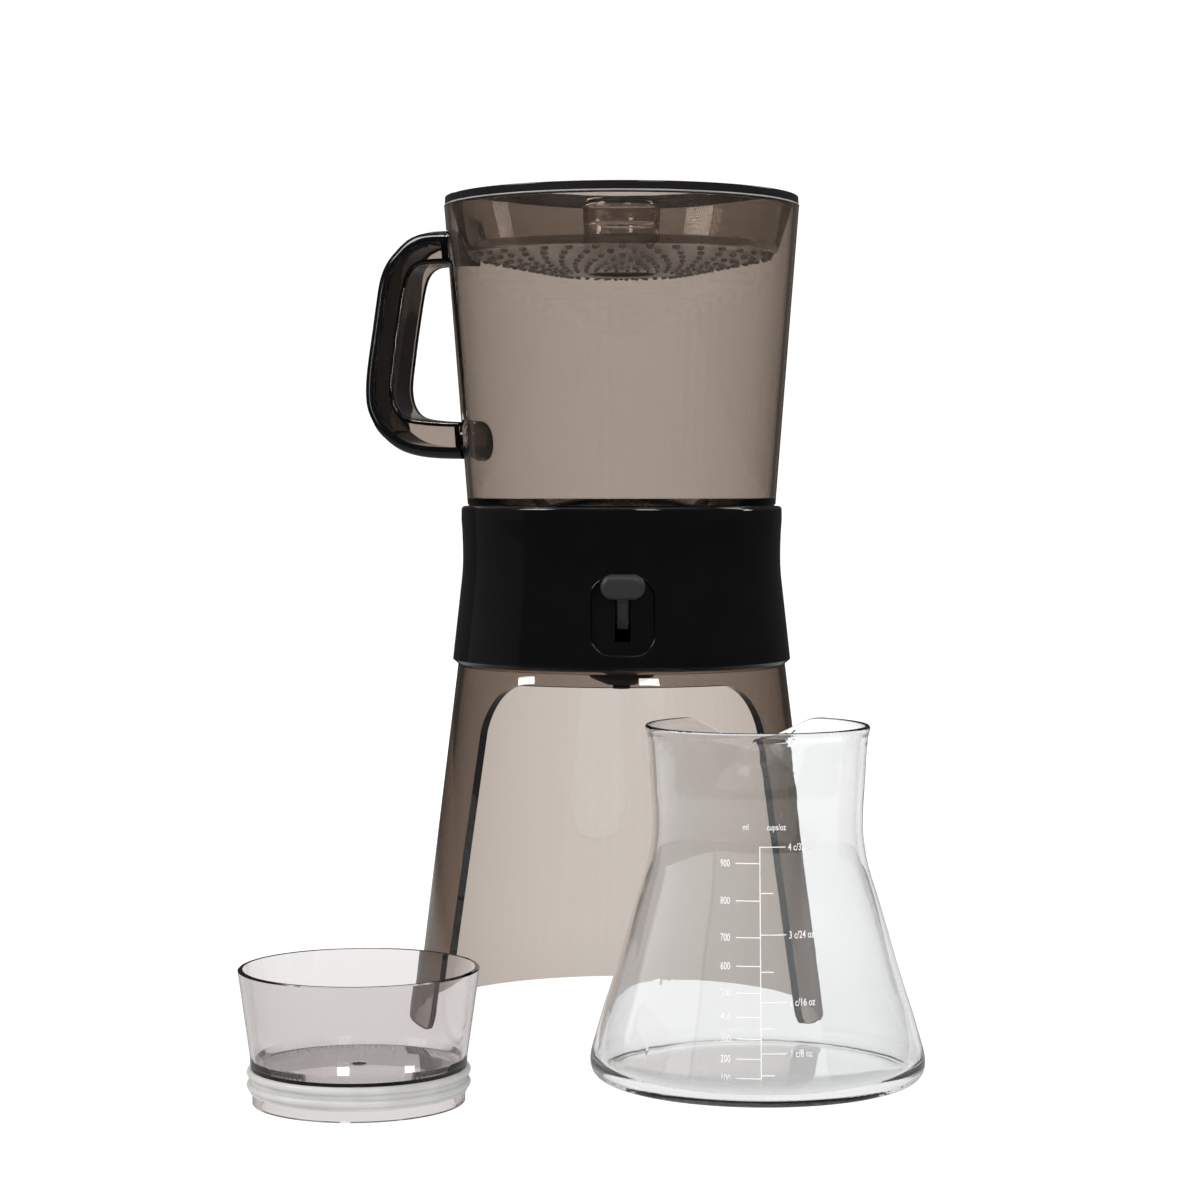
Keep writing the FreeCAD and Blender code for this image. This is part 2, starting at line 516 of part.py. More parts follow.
# ---------------------------------------------------------------- drain valve
b = body("valve_seat_ring")
turned(b, "seat", [("drain_bore", "hub_low"), ("drain_bore", "bowl_low"), (7.5, "bowl_low"), (5.5, 210.5), (5.5, "hub_low")])
hub = body("seat_hub")
turned(hub, "seat_hub", [("hub_bore", "hub_low"), (3.3, "hub_low"), (3.3, "hub_low + 2.5"), ("hub_bore", "hub_low + 2.5")])
spokes = []
for k in range(3):
    s = box("seat_spoke%d" % k, 2.6, 6.0, -0.7, 0.7, "hub_low", "hub_low + 2.0")
    s.Placement = Placement(Vector(0, 0, 0), Rotation(Vector(0, 0, 1), 30 + 120 * k)) * Placement(Vector(2.6, -0.7, num("hub_low")), Rotation())
    s.setExpression("Placement.Base.x", None)
    s.setExpression("Placement.Base.y", None)
    spokes.append(s)
kept["valve_seat"] = chain("valve_seat", [b, hub] + spokes)

b = body("valve_stem")
turned(b, "stem", [
    (0, "foot_low"), ("foot_disc", "foot_low"), ("foot_disc", "foot_low + foot_thick"), ("stem_rad", "foot_low + foot_thick"),
    ("stem_rad", 217.4), (3.2, 217.4), (3.2, 218.6), (0, 218.6)])
kept["valve_stem"] = b
b = body("valve_plug")
turned(b, "plug", [("stem_rad", 210.6), (5.45, 210.6), (7.35, 213.0), (7.35, 214.6), (5.6, 216.4), (3.6, 217.35), ("stem_rad", 217.35)])
kept["valve_plug"] = b

spring_low, spring_high, wire = num("foot_low + foot_thick"), D["hub_low"], 0.4
helix = doc.addObject("Part::Helix", "spring_path")
helix.Pitch = (spring_high - spring_low - 2 * wire - 0.06) / 5.0
helix.Height = spring_high - spring_low - 2 * wire - 0.06
helix.Radius = 3.2
helix.Placement = Placement(Vector(0, 0, spring_low + wire + 0.03), Rotation())
ring = doc.addObject("Part::Circle", "spring_wire")
ring.Radius = wire
ring.Placement = Placement(Vector(3.2, 0, spring_low + wire + 0.03), ALONG_FRONT)
sweep = doc.addObject("Part::Sweep", "valve_spring")
sweep.Sections = [ring]
sweep.Spine = (helix, ["Edge1"])
sweep.Solid = True
sweep.Frenet = True
kept["valve_spring"] = sweep

# ---------------------------------------------------------------- filter: frame, mesh disc, seal and pull tab
b = body("filter_ring")
turned(b, "filter_ring", [
    ("filter_rad - 1.4", "filter_low + 0.02"), ("filter_rad", "filter_low + 0.02"), ("filter_rad", "filter_low + filter_high"),
    ("filter_rad - 3.2", "filter_low + filter_high"), ("filter_rad - 3.2", "filter_low + 1.2"), ("filter_rad - 1.4", "filter_low + 1.2")])
hub = cylinder("filter_hub", 6.0, 2.8, 0, 0, "filter_low + 1.2")
arms = []
for k in range(3):
    s = box("filter_arm%d" % k, 4.0, 41.0, -1.2, 1.2, "filter_low + 1.2", "filter_low + 3.2")
    s.Placement = Placement(Vector(0, 0, 0), Rotation(Vector(0, 0, 1), 90 + 120 * k)) * Placement(Vector(4.0, -1.2, num("filter_low + 1.2")), Rotation())
    s.setExpression("Placement.Base.x", None)
    s.setExpression("Placement.Base.y", None)
    arms.append(s)
kept["filter_frame"] = chain("filter_frame", [b, hub] + arms)
kept["filter_mesh"] = cylinder("filter_mesh", "filter_rad - 1.5", 0.35, 0, 0, "filter_low + 0.8")
b = body("filter_gasket")
turned(b, "filter_seal", [
    ("filter_rad", "filter_low + 0.05"), ("filter_rad + 1.6", "filter_low + 0.05"), ("filter_rad + 1.6", "filter_low + 0.9"),
    ("filter_rad + 2.3", "filter_low + 1.5"), ("filter_rad + 2.3", "filter_low + 2.1"), ("filter_rad + 1.3", "filter_low + 2.6"),
    ("filter_rad + 1.3", "filter_low + 3.6"), ("filter_rad", "filter_low + 3.6")])
kept["filter_gasket"] = b
loop = doc.addObject("Part::Torus", "tab_loop")
loop.Radius1, loop.Radius2 = 6.0, 1.3
loop.Placement = Placement(Vector(0, 0, num("filter_low + filter_high") + 7.4), ALONG_FRONT)
neck = cylinder("tab_neck", 3.0, 2.2, 0, 0, "filter_low + filter_high")
kept["filter_tab"] = chain("filter_tab", [neck, loop])

# ---------------------------------------------------------------- rainmaker: perforated dish with a hollow knob
b = body("tray_turn")
w = "tray_wall"
turned(b, "tray", [
    ("tray_rad", "lip_high + 0.02"), ("tray_rad", "tray_top - 0.8"), ("tray_rad - 0.8", "tray_top"), ("tray_rad - 3.4", "tray_top"),
    ("tray_rad - 4.6", "tray_top - 4.0"), (78.0, 377.2), (75.4, 376.0), ("dish_rad + 0.6", "dish_high + 1.6"),
    ("flat_rad", "flat_high + tray_wall"), ("knob_rad - 0.3", "flat_high + tray_wall"), ("knob_rad - 1.0", 372.4), ("knob_rad", 373.2), ("knob_rad", "knob_top - 5.0"),
    ("knob_rad - 5.0", "knob_top", 5.0, 1), (0, "knob_top"), (0, "knob_top - tray_wall"), ("knob_rad - 5.0", "knob_top - tray_wall"),
    ("knob_rad - tray_wall", "knob_top - 5.0", 3.0, -1), ("knob_rad - tray_wall - 1.0", "flat_high + 3.0"), ("knob_rad - tray_wall - 0.3", "flat_high"),
    ("flat_rad", "flat_high"), ("dish_rad + 1.6", "dish_high - 0.4"), (77.2, 375.0), (79.7, 376.2), (80.6, "lip_high + 0.02")])
drill = doc.addObject("Part::Feature", "drill_set")
pins = []
rings = (70.5, 62.5, 55.0, 48.5, 43.0, 37.8, 33.2, 29.0)
for j, rr in enumerate(rings):
    for k in range(36):
        a = math.radians(10.0 * k + (5.0 if j % 2 else 0.0))
        pins.append(Part.makeCylinder(float(sheet.get("hole_rad")), 22.0, Vector(rr * math.cos(a), rr * math.sin(a), 346.0)))
drill.Shape = Part.makeCompound(pins)
kept["rainmaker_tray"] = chain("rainmaker_tray", [b, drill], "Part::Cut")

# ---------------------------------------------------------------- carafe: one blown wall from the base over the rim to the inner floor
outside = [(62.0, 0.0), (65.0, 0.12), (67.6, 0.8), (69.5, 2.4), (70.6, 4.8), (70.9, 7.4), (70.6, 10.2), (69.8, 13.4), (68.2, 19.0), (66.3, 25.6),
           (64.3, 32.0), (62.2, 38.4), (60.2, 45.0), (58.4, 51.0), (56.6, 57.5), (54.8, 63.8), (52.9, 70.2), (50.9, 76.8), (48.9, 83.0),
           (47.0, 89.4), (45.7, 96.0), (44.9, 102.4), (44.7, 108.6), (44.9, 115.0), (45.4, 122.0), (45.8, 129.0), (46.2, 136.0), (46.7, 142.0)]
bead = [(47.3, 145.6), (47.8, 147.3), (47.6, 148.5), (46.7, 149.0), (45.8, 148.6), (45.3, 147.3), (45.0, 145.4)]
glass = float(sheet.get("glass_wall"))
inside = []
for i in range(len(outside) - 1, 5, -1):
    (r0, z0), (r1, z1) = outside[i - 1], outside[min(i + 1, len(outside) - 1)]
    long = math.hypot(r1 - r0, z1 - z0)
    inside.append((outside[i][0] - (z1 - z0) / long * glass, outside[i][1] + (r1 - r0) / long * glass))
inside = [p for p in inside if p[1] > 10.0] + [(68.2, 8.2), (67.0, 5.6), (65.0, 3.9), (62.4, 3.1), (59.0, num("glass_floor"))]
profile = outside + bead + inside


def smooth(v):
    v = min(max(v, 0.0), 1.0)
    return v * v * (3 - 2 * v)


def glass_point(r, z, ang):
    """A point of the wall. The rim is pulled out and down round the pouring lip."""
    off = abs((ang - D["spout_deg"] + 180.0) % 360.0 - 180.0)
    across = math.cos(math.pi / 2 * min(off / D["spout_wide"], 1.0)) ** 2
    high = smooth((z - 112.0) / 38.0) ** 1.5
    r2 = r + D["spout_pull"] * across * high
    z2 = z - D["spout_dip"] * across * high
    a = math.radians(ang)
    return Vector(r2 * math.cos(a), r2 * math.sin(a), z2)


steps = 60
start = D["spout_deg"] + 135.0
grid = [[glass_point(r, z, start + 360.0 * k / steps) for r, z in profile] for k in range(steps)]
grid.append([Vector(p) for p in grid[0]])
surface = Part.BSplineSurface()
surface.interpolate(grid)
for j in range(1, surface.NbVPoles + 1):
    surface.setPole(surface.NbUPoles, j, surface.getPole(1, j))
skin = surface.toShape()
loops = sorted([e for e in skin.Edges if e.BoundBox.ZLength < 1e-4], key=lambda e: e.BoundBox.ZMin)
caps = [Part.Face(Part.Wire([e])) for e in (loops[0], loops[-1])]
shell = Part.Shell([skin] + caps)
shell.sewShape()
solid = Part.Solid(shell)
if solid.Volume < 0:
    solid.reverse()
o = doc.addObject("Part::Feature", "carafe_glass")
o.Shape = solid
o.Placement = Placement(Vector(float(sheet.get("carafe_x")), float(sheet.get("carafe_y")), 0), Rotation())
kept["carafe_glass"] = o

# ---------------------------------------------------------------- measuring cup that closes the carafe
b = body("cup_body")
turned(b, "cup", [
    ("skirt_bore", 0), ("skirt_rad", 0), ("skirt_rad", "groove_low"), ("groove_rad", "groove_low"), ("groove_rad", "groove_top"),
    ("cup_neck - 0.2", "groove_top"), ("cup_neck", "cup_neck_high"), ("cup_rim", "cup_high - 0.5"), ("cup_rim - 0.6", "cup_high"), ("cup_rim - cup_wall", "cup_high"),
    ("cup_neck - cup_wall + 0.1", "cup_neck_high"), ("cup_neck - cup_wall - 1.8", "cup_floor"),
    (3.2, "cup_floor"), (2.2, "cup_floor + 0.5"), (0, "cup_floor + 0.8"), (0, "cup_floor - 2.2"), ("skirt_bore - 1.0", "cup_floor - 2.2"), ("skirt_bore", "cup_floor - 3.4")])
b.Placement = Placement(Vector(float(sheet.get("cup_x")), float(sheet.get("cup_y")), 0), Rotation())
kept["cup_body"] = b
b = body("cup_gasket")
turned(b, "gasket", [
    ("groove_rad", "groove_low + 0.02"), (44.1, "groove_low + 0.02"), (44.1, 5.9), ("rib_rad", 7.4, 1.62, 1), (44.1, 8.9, 1.62, 1),
    (44.1, 10.9), ("rib_rad", 12.4, 1.62, 1), (44.3, "groove_top - 0.1", 1.9, 1), ("groove_rad", "groove_top - 0.02")])
b.Placement = Placement(Vector(float(sheet.get("cup_x")), float(sheet.get("cup_y")), 0), Rotation())
kept["cup_gasket"] = b

# ---------------------------------------------------------------- check and write
doc.recompute()
for o in doc.Objects:
    bad = [s for s in o.State if s in ("Invalid", "Error")]
    if bad:
        raise RuntimeError("%s is %s" % (o.Name, bad))
for name, o in kept.items():
    shape = o.Shape
    if shape.isNull() or not shape.isValid() or shape.Volume <= 0:
        raise RuntimeError("%s has no valid shape (null %s, valid %s)" % (name, shape.isNull(), not shape.isNull() and shape.isValid()))
    if len(shape.Solids) < 1:
        raise RuntimeError("%s has no solid" % name)
    o.Label = name
    shape.exportStep("parts/%s.step" % name)
    bb = shape.BoundBox
    print("%-16s solids %d  volume %9.1f  x %.1f %.1f  y %.1f %.1f  z %.1f %.1f" % (
        name, len(shape.Solids), shape.Volume, bb.XMin, bb.XMax, bb.YMin, bb.YMax, bb.ZMin, bb.ZMax))
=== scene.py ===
import math

import bmesh
import bpy
from mathutils import Matrix, Vector


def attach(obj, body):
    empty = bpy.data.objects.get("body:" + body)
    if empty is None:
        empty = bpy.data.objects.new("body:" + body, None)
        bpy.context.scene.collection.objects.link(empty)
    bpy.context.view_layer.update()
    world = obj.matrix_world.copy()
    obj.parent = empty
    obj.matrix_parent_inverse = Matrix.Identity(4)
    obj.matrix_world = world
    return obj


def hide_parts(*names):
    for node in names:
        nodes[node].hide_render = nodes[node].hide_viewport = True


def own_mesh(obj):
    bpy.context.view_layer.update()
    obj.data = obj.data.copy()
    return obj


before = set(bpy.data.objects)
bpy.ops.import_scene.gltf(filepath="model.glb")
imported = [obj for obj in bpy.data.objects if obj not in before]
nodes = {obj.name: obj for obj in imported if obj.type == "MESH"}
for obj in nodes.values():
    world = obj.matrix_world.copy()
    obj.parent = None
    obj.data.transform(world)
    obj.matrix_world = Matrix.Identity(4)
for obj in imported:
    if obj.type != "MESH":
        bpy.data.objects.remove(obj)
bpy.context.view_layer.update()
MM = 0.001


# ---------------------------------------------------------------- materials
def material(name):
    """An empty node material: (material, tree, Principled shader, output)."""
    m = bpy.data.materials.new(name)
    m.use_nodes = True
    tree = m.node_tree
    tree.nodes.clear()
    out = tree.nodes.new("ShaderNodeOutputMaterial")
    shader = tree.nodes.new("ShaderNodeBsdfPrincipled")
    tree.links.new(shader.outputs["BSDF"], out.inputs["Surface"])
    return m, tree, shader, out


def noise(tree, scale, detail=3.0, rough=0.5, stretch=None, distortion=0.0):
    """3-D noise in object space, in metres times scale, stretched per axis."""
    where = tree.nodes.new("ShaderNodeTexCoord")
    n = tree.nodes.new("ShaderNodeTexNoise")
    n.inputs["Scale"].default_value = scale
    n.inputs["Detail"].default_value = detail
    n.inputs["Roughness"].default_value = rough
    n.inputs["Distortion"].default_value = distortion
    if stretch:
        mapping = tree.nodes.new("ShaderNodeMapping")
        mapping.inputs["Scale"].default_value = stretch
        tree.links.new(where.outputs["Object"], mapping.inputs["Vector"])
        tree.links.new(mapping.outputs["Vector"], n.inputs["Vector"])
    else:
        tree.links.new(where.outputs["Object"], n.inputs["Vector"])
    return n


def spread(tree, value, low, high, a=0.3, b=0.7):
    """value between a and b mapped onto low..high."""
    r = tree.nodes.new("ShaderNodeMapRange")
    r.inputs["From Min"].default_value = a
    r.inputs["From Max"].default_value = b
    r.inputs["To Min"].default_value = low
    r.inputs["To Max"].default_value = high
    tree.links.new(value, r.inputs["Value"])
    return r.outputs["Result"]


def tones(tree, value, stops):
    ramp = tree.nodes.new("ShaderNodeValToRGB")
    ramp.color_ramp.elements.remove(ramp.color_ramp.elements[1])
    first = ramp.color_ramp.elements[0]
    first.position, first.color = stops[0][0], (*stops[0][1], 1)
    for place, colour in stops[1:]:
        e = ramp.color_ramp.elements.new(place)
        e.color = (*colour, 1)
    tree.links.new(value, ramp.inputs["Fac"])
    return ramp.outputs["Color"]


def bumped(tree, shader, height, strength, distance):
    b = tree.nodes.new("ShaderNodeBump")
    b.inputs["Strength"].default_value = strength
    b.inputs["Distance"].default_value = distance
    tree.links.new(height, b.inputs["Height"])
    tree.links.new(b.outputs["Normal"], shader.inputs["Normal"])
    return b


def clear(name, tint, density, ior, rough=(0.0, 0.02), ripple=0.0, base=(1, 1, 1)):
    """A transparent moulded plastic or glass: light is absorbed in its depth."""
    m, tree, shader, out = material(name)
    shader.inputs["Transmission Weight"].default_value = 1.0
    shader.inputs["IOR"].default_value = ior
    fine = noise(tree, 55, 4, 0.6, distortion=0.3)
    tree.links.new(spread(tree, fine.outputs["Fac"], *rough), shader.inputs["Roughness"])
    soft = noise(tree, 9, 2)
    tree.links.new(
        tones(tree, soft.outputs["Fac"], [(0.3, base), (0.7, tuple(0.985 * c for c in base))]),
        shader.inputs["Base Color"],
    )
    if ripple:
        wavy = noise(tree, 34, 1, 0.4, stretch=(1, 1, 0.35))
        bumped(tree, shader, wavy.outputs["Fac"], 1.0, ripple)
    if density:
        depth = tree.nodes.new("ShaderNodeVolumeAbsorption")
        depth.inputs["Color"].default_value = (*tint, 1)
        depth.inputs["Density"].default_value = density
        tree.links.new(depth.outputs["Volume"], out.inputs["Volume"])
    return m


def solid(name, dark, light, rough, scale=60, bump=0.0, bump_scale=900, metal=0.0, stretch=None, ior=1.5, coat=0.0):
    """An opaque moulded or metal surface with a slow change of tone, a fine grain and uneven gloss."""
    m, tree, shader, out = material(name)
    shader.inputs["Metallic"].default_value = metal
    shader.inputs["IOR"].default_value = ior
    shader.inputs["Coat Weight"].default_value = coat
    slow = noise(tree, scale, 4, 0.55, stretch=stretch)
    tree.links.new(tones(tree, slow.outputs["Fac"], [(0.3, dark), (0.7, light)]), shader.inputs["Base Color"])
    wear = noise(tree, scale * 3.1, 5, 0.6, stretch=stretch)
    tree.links.new(spread(tree, wear.outputs["Fac"], *rough), shader.inputs["Roughness"])
    if bump:
        grain = noise(tree, bump_scale, 2, 0.5, stretch=stretch)
        bumped(tree, shader, grain.outputs["Fac"], 0.6, bump)
    return m


smoke = clear("smoke_plastic", (0.229, 0.104, 0.0), 288, 1.53, (0.0, 0.012), 0.00002)
# an opaque near-black copy of the smoke plastic for the lid's rim: partly the plastic's own deep tint, partly painted
# shade for the dark it shows by inner reflection
rim_smoke_and_painted_shade = solid("smoke_plastic_rim", (0.0085, 0.0075, 0.0075), (0.0125, 0.011, 0.011), (0.06, 0.12), 30, 0.000004, 1500)
smoke_pale = clear("smoke_plastic_pale", (0.128, 0.041, 0.0), 60, 1.50, (0.0, 0.015), 0.00002, (0.88, 0.865, 0.86))
glass = clear("borosilicate_glass", (0.0, 0.03, 0.02), 9, 1.473, (0.0, 0.004), 0.00004, (0.915, 0.92, 0.92))
gloss = solid("gloss_black_plastic", (0.0016, 0.0017, 0.0020), (0.0032, 0.0033, 0.0037), (0.05, 0.11), 22, 0.000004, 1500)
black = solid("black_moulded_plastic", (0.004, 0.004, 0.0045), (0.008, 0.008, 0.0085), (0.28, 0.42), 60, 0.00002, 1400)
dull = solid("black_matte_plastic", (0.004, 0.004, 0.0045), (0.007, 0.007, 0.0075), (0.45, 0.6), 60, 0.00002, 1400, ior=1.2)
grey = solid("switch_soft_plastic", (0.013, 0.013, 0.015), (0.019, 0.019, 0.0215), (0.42, 0.58), 90, 0.00003, 2600)
steel = solid("screw_steel_plated", (0.42, 0.42, 0.43), (0.60, 0.60, 0.60), (0.22, 0.38), 240, 0.00001, 3000, 1.0)
spring = solid("spring_wire_steel", (0.50, 0.50, 0.51), (0.66, 0.66, 0.67), (0.16, 0.30), 300, 0.00001, 4000, 1.0)
rubber = solid("silicone_grey", (0.10, 0.10, 0.105), (0.14, 0.14, 0.145), (0.48, 0.66), 70, 0.00003, 1800)
milky = solid("silicone_white", (0.50, 0.495, 0.475), (0.60, 0.595, 0.575), (0.32, 0.5), 50, 0.00002, 1500)
drop = solid("smoke_plastic_nozzle", (0.16, 0.14, 0.125), (0.26, 0.23, 0.205), (0.10, 0.18), 120, 0.000004, 2400, ior=2.4)
# a pale brown plastic for the sheet on the handle channel's floor: painted light for the light that comes through the
# smoke
handle_floor_painted_light = solid("handle_core_plastic", (0.30, 0.255, 0.215), (0.40, 0.345, 0.295), (0.35, 0.5), 40, 0.00002, 1400)
# a pale plastic for a thin ring under the rainmaker's rim: a painted highlight where the container's lip catches light
lip_painted_highlight = solid("seam_bright_plastic", (0.24, 0.235, 0.23), (0.36, 0.355, 0.35), (0.12, 0.22), 60, 0.000006, 1500)
print_white = solid("fired_white_ink", (0.80, 0.80, 0.79), (0.92, 0.92, 0.91), (0.45, 0.62), 160, 0.000006, 2600)


def frosted_dish():
    """The smoke plastic of the rainmaker, frosted on its perforated floor."""
    m, tree, shader, out = material("smoke_plastic_dish")
    shader.inputs["Transmission Weight"].default_value = 1.0
    shader.inputs["IOR"].default_value = 1.53
    where = tree.nodes.new("ShaderNodeTexCoord")
    split = tree.nodes.new("ShaderNodeSeparateXYZ")
    tree.links.new(where.outputs["Object"], split.inputs["Vector"])
    fine = noise(tree, 90, 4, 0.6)
    level = spread(tree, split.outputs["Z"], 0.30, 0.0, 0.3600, 0.3612)
    grain = spread(tree, fine.outputs["Fac"], 0.85, 1.15)
    times = tree.nodes.new("ShaderNodeMath")
    times.operation = "MULTIPLY"
    tree.links.new(level, times.inputs[0])
    tree.links.new(grain, times.inputs[1])
    tree.links.new(times.outputs[0], shader.inputs["Roughness"])
    soft = noise(tree, 9, 2)
    tree.links.new(tones(tree, soft.outputs["Fac"], [(0.3, (1, 1, 1)), (0.7, (0.985, 0.985, 0.985))]), shader.inputs["Base Color"])
    depth = tree.nodes.new("ShaderNodeVolumeAbsorption")
    depth.inputs["Color"].default_value = (0.229, 0.104, 0.0, 1)
    depth.inputs["Density"].default_value = 205
    tree.links.new(depth.outputs["Volume"], out.inputs["Volume"])
    return m


dish_smoke = frosted_dish()

finish = {
    "stand_shell": smoke, "brew_container": smoke, "handle_frame": smoke, "rainmaker_tray": smoke,
    "handle_grip": gloss, "base_collar": gloss, "base_insert": gloss,
    "base_plate": dull, "drain_funnel": dull, "rocker_lever": black, "valve_seat": black,
    "valve_stem": black, "filter_frame": black, "base_screws": steel, "lever_pin": steel,
    "switch_slider": black, "switch_paddle": grey, "valve_plug": rubber, "filter_gasket": rubber,
    "filter_tab": rubber, "valve_spring": spring, "filter_mesh": steel,
    "carafe_glass": glass, "cup_body": smoke_pale, "cup_gasket": milky,
}
for name, m in finish.items():
    data = nodes[name].data
    data.materials.clear()
    data.materials.append(m)


# ---------------------------------------------------------------- small pieces that ride
def piece(name, mesh, mat, body):
    o = bpy.data.objects.new(name, mesh)
    bpy.context.scene.collection.objects.link(o)
    mesh.materials.append(mat)
    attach(o, body)
    return o


def softened(points, arcs=6):
    """A closed outline in (r, z, k), each corner eased over the distance k along both of its sides."""
    out = []
    n = len(points)
    for i, (r, z, k) in enumerate(points):
        p, a, b = Vector((r, z)), Vector(points[i - 1][:2]), Vector(points[(i + 1) % n][:2])
        u, v = a - p, b - p
        k = min(k, 0.45 * u.length, 0.45 * v.length)
        if k <= 0:
            out.append((r, z))
            continue
        p0, p1 = p + u.normalized() * k, p + v.normalized() * k
        for j in range(arcs + 1):
            t = j / arcs
            q = p0 * (1 - t) ** 2 + p * (2 * t * (1 - t)) + p1 * (t * t)
            out.append((q.x, q.y))
    return out


def lathed(name, outline, segments=192):
    """A closed solid turned from an outline of (r, z) in mm round the brewer's axis."""
    mesh = bpy.data.meshes.new(name)
    b = bmesh.new()
    rows = []
    for r, z in outline:
        if r < 1e-6:
            rows.append([b.verts.new((0, 0, z * MM))])
        else:
            rows.append([b.verts.new((r * math.cos(t) * MM, r * math.sin(t) * MM, z * MM)) for t in (2 * math.pi * k / segments for k in range(segments))])
    for one, two in zip(rows, rows[1:] + rows[:1]):
        if len(one) == 1 and len(two) == 1:
            continue
        for k in range(segments):
            k2 = (k + 1) % segments
            if len(one) == 1:
                b.faces.new((one[0], two[k], two[k2]))
            elif len(two) == 1:
                b.faces.new((one[k], two[0], one[k2]))
            else:
                b.faces.new((one[k], two[k], two[k2], one[k2]))
    bmesh.ops.recalc_face_normals(b, faces=b.faces)
    b.to_mesh(mesh)
    b.free()
    mesh.shade_smooth()
    mesh.update()
    return mesh


def rainmaker():
    """The lid: a thick rim darkened partly by painted shade, a clear dish with a hollow knob, and a pale ring under the
    rim that is a painted highlight.
    """
    # the rim, in the opaque dark copy of the smoke plastic: partly its own tint, partly painted shade
    rim = softened([(84.3, 383.06, 0.4), (84.3, 387.5, 0.9), (83.0, 387.5, 0.5), (79.0, 383.5, 0.3), (79.0, 383.06, 0.1)])
    ring = piece("rainmaker_rim", lathed("rainmaker_rim", rim), rim_smoke_and_painted_shade, "rainmaker")
    dish = softened([
        (81.4, 383.0, 0.3), (74.4, 360.2, 3.5), (30.0, 351.0, 6.0), (16.6, 351.0, 0.8),
        (16.0, 354.0, 0.8), (16.4, 377.0, 1.0), (16.4, 380.9, 3.4), (0.0, 381.0, 0.0), (0.0, 383.6, 0.0), (18.5, 383.6, 5.2),
        (18.5, 373.4, 0.5), (17.9, 372.2, 0.5), (18.3, 353.2, 1.2), (30.0, 353.2, 6.0), (71.6, 362.0, 4.0), (78.7, 383.0, 0.3)])
    body = piece("rainmaker_dish", lathed("rainmaker_dish", dish), dish_smoke, "rainmaker")
    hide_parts("rainmaker_tray")
    # a thin pale ring where the rim meets the container's lip: a painted highlight
    line = softened([(84.2, 382.95, 0.0), (84.72, 382.95, 0.15), (84.72, 383.5, 0.2), (84.4, 383.6, 0.1), (84.4, 383.02, 0.0), (84.2, 383.02, 0.0)], 3)
    piece("rainmaker_seam_line", lathed("rainmaker_seam_line", line), lip_painted_highlight, "rainmaker")
    return ring, body


def nozzles():
    """A short rounded nozzle round every hole, under the rainmaker."""
    verts, faces = [], []
    sides = 18
    # radius and drop below the dish, from the outside over the lip into the bore
    shape = [(1.76, -0.10), (1.80, 0.30), (1.76, 0.70), (1.60, 1.10), (1.30, 1.42), (0.92, 1.62), (0.66, 1.66), (0.52, 1.52), (0.52, -0.10)]
    rings = (70.5, 62.5, 55.0, 48.5, 43.0, 37.8, 33.2, 29.0)
    for j, rr in enumerate(rings):
        under = 351.0 + max(0.0, rr - 30.0) * 9.2 / 44.4
        size = 1.0 - 0.06 * j
        for k in range(36):
            a = math.radians(10.0 * k + (5.0 if j % 2 else 0.0))
            cx, cy = rr * math.cos(a), rr * math.sin(a)
            start = len(verts)
            for r, d in shape:
                r, d = r * size, d * size
                for i in range(sides):
                    t = 2 * math.pi * i / sides
                    verts.append(((cx + r * math.cos(t)) * MM, (cy + r * math.sin(t)) * MM, (under - d) * MM))
            n = len(shape)
            for m in range(n):
                for i in range(sides):
                    i2 = (i + 1) % sides
                    m2 = (m + 1) % n
                    faces.append((start + m * sides + i, start + m2 * sides + i, start + m2 * sides + i2, start + m * sides + i2))
    mesh = bpy.data.meshes.new("rainmaker_nozzles")
    mesh.from_pydata(verts, [], faces)
    mesh.shade_smooth()
    mesh.update()
    return piece("rainmaker_nozzles", mesh, drop, "rainmaker")


CARAFE = (56.5, -153.0)
SIDE = [(0.0, 62.0), (2.4, 69.5), (7.4, 70.9), (13.4, 69.8), (19.0, 68.2), (25.6, 66.3), (32.0, 64.3), (38.4, 62.2), (45.0, 60.2),
        (51.0, 58.4), (57.5, 56.6), (63.8, 54.8), (70.2, 52.9), (76.8, 50.9), (83.0, 48.9), (89.4, 47.0), (96.0, 45.7), (102.4, 44.9),
        (108.6, 44.7), (115.0, 44.9), (122.0, 45.4), (129.0, 45.8), (136.0, 46.2), (142.0, 46.7)]


def glass_radius(z):
    for (z0, r0), (z1, r1) in zip(SIDE, SIDE[1:]):
        if z <= z1:
            return r0 + (r1 - r0) * (z - z0) / (z1 - z0)
    return SIDE[-1][1]


MERIDIAN = math.radians(-1.75)


def on_glass(along, z, out):
    """along: mm round the glass from the scale's upright line, to the right; z: mm up."""
    r = glass_radius(z)
    a = MERIDIAN + along / r
    return ((CARAFE[0] + (r + out) * math.sin(a)) * MM, (CARAFE[1] - (r + out) * math.cos(a)) * MM, z * MM)


